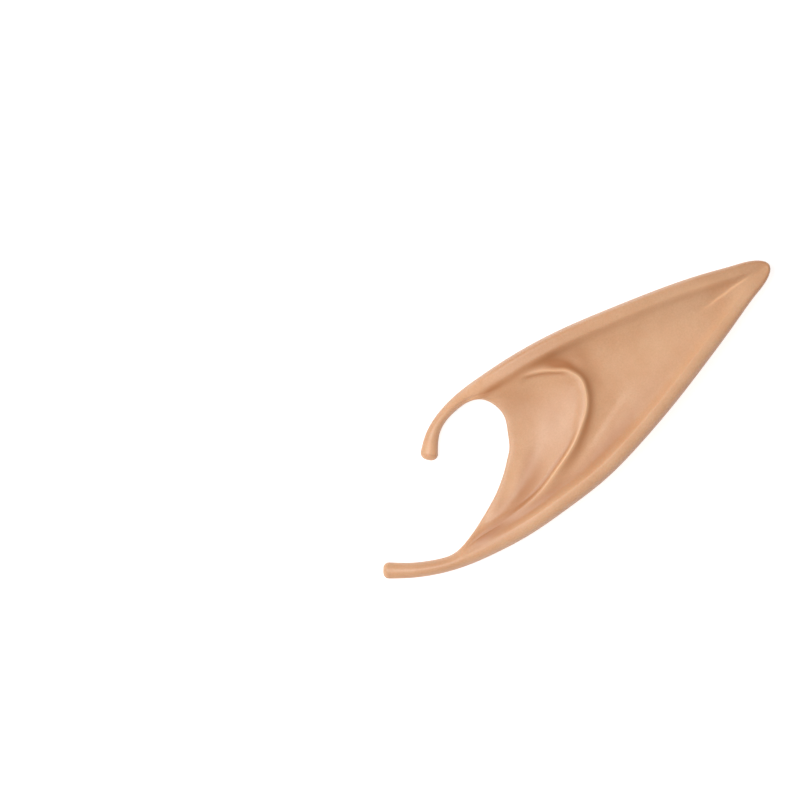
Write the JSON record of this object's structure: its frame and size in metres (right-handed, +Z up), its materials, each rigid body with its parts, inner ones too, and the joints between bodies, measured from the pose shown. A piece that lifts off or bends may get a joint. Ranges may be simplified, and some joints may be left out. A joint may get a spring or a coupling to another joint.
{
  "type": "elf ear tip",
  "caption": "Slip-on pointed ear tip of thin hollow latex, with a rolled rim, an inner fold, a C-shaped cut between hook and tail, and an open pocket.",
  "frame": {"origin": "on the surface that the ear rests on, under the middle of its outline", "axes": "+X along the ear to its pointed tip, +Y to the side of the hook, +Z up out of the modelled front"},
  "size_m": [0.1694, 0.0544, 0.022],
  "materials": {
    "latex": "satin"
  },
  "bodies": {
    "root": {"ear_tip": "latex"}
  },
  "joints": []
}
